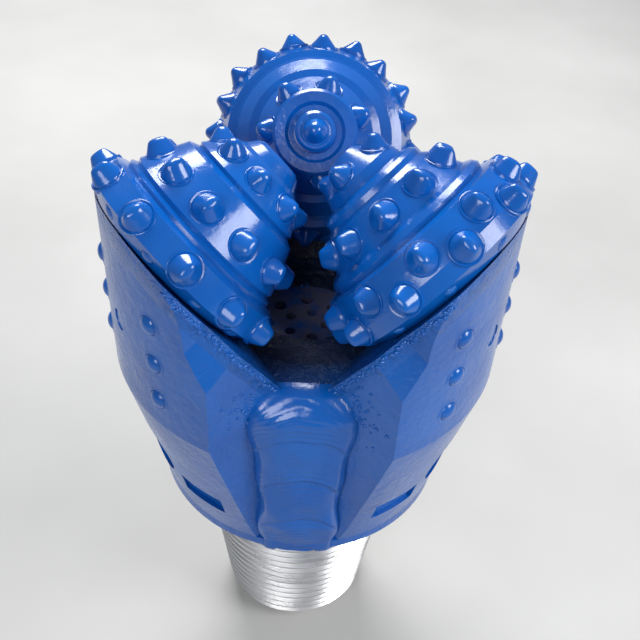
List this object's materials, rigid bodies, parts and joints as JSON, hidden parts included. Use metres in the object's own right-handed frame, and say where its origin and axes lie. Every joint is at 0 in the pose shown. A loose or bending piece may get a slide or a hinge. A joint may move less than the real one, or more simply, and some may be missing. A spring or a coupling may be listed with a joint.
{
  "type": "tricone drill bit",
  "caption": "Roller-cone rock bit: three toothed cones turn on journals in a three-leg body above a tapered threaded pin with a central water bore.",
  "frame": {"origin": "centre of the threaded pin's end face, where the water bore opens", "axes": "+Z along the bit's axis from the pin to the cones, +Y towards the single back cone, +X towards the right of the two front cones"},
  "size_m": [0.1498, 0.1425, 0.2578],
  "materials": {
    "insert_paint": "gloss",
    "leg_compact_paint": "gloss",
    "cone_paint": "gloss",
    "leg_paint_and_pin_steel": "gloss blue paint, the pin left bare and machined",
    "weld_paint": "gloss",
    "screen_steel": "dull",
    "bearing_bronze": "machined",
    "seal_rubber": "moulded",
    "plug_steel": "gloss",
    "cap_paint": "gloss",
    "snap_ring_steel": "spring steel"
  },
  "bodies": {
    "bit_body": {"ball_plug_back": "plug_steel", "ball_plug_left": "plug_steel", "ball_plug_right": "plug_steel", "centre_screen": "screen_steel", "leg_back": "leg_paint_and_pin_steel", "leg_compacts_back": "leg_compact_paint", "leg_compacts_left": "leg_compact_paint", "leg_compacts_right": "leg_compact_paint", "leg_left": "leg_paint_and_pin_steel", "leg_right": "leg_paint_and_pin_steel", "reservoir_cap_back": "cap_paint", "reservoir_cap_left": "cap_paint", "reservoir_cap_right": "cap_paint", "snap_ring_back": "snap_ring_steel", "snap_ring_left": "snap_ring_steel", "snap_ring_right": "snap_ring_steel", "weld_back": "weld_paint", "weld_left": "weld_paint", "weld_right": "weld_paint"},
    "rolling_cone_back": {"cone_back": "cone_paint", "gauge_compacts_back": "insert_paint", "inner_inserts_back": "insert_paint", "journal_bush_back": "bearing_bronze", "middle_inserts_back": "insert_paint", "outer_inserts_back": "insert_paint", "seal_ring_back": "seal_rubber", "nose_insert": "insert_paint"},
    "rolling_cone_left": {"cone_left": "cone_paint", "gauge_compacts_left": "insert_paint", "inner_inserts_left": "insert_paint", "journal_bush_left": "bearing_bronze", "middle_inserts_left": "insert_paint", "outer_inserts_left": "insert_paint", "seal_ring_left": "seal_rubber"},
    "rolling_cone_right": {"cone_right": "cone_paint", "gauge_compacts_right": "insert_paint", "inner_inserts_right": "insert_paint", "journal_bush_right": "bearing_bronze", "middle_inserts_right": "insert_paint", "outer_inserts_right": "insert_paint", "seal_ring_right": "seal_rubber", "second_inserts_right": "insert_paint"}
  },
  "joints": [
    {"name": "cone_spin_back", "type": "hinge", "parent": "bit_body", "child": "rolling_cone_back", "pos_m": [0, 0, 0.25345], "axis": [0, 0.8141, -0.5807], "continuous": true},
    {"name": "cone_spin_left", "type": "hinge", "parent": "bit_body", "child": "rolling_cone_left", "pos_m": [0, 0, 0.25345], "axis": [-0.705, -0.4071, -0.5807], "continuous": true},
    {"name": "cone_spin_right", "type": "hinge", "parent": "bit_body", "child": "rolling_cone_right", "pos_m": [0, 0, 0.25345], "axis": [0.705, -0.4071, -0.5807], "continuous": true}
  ]
}
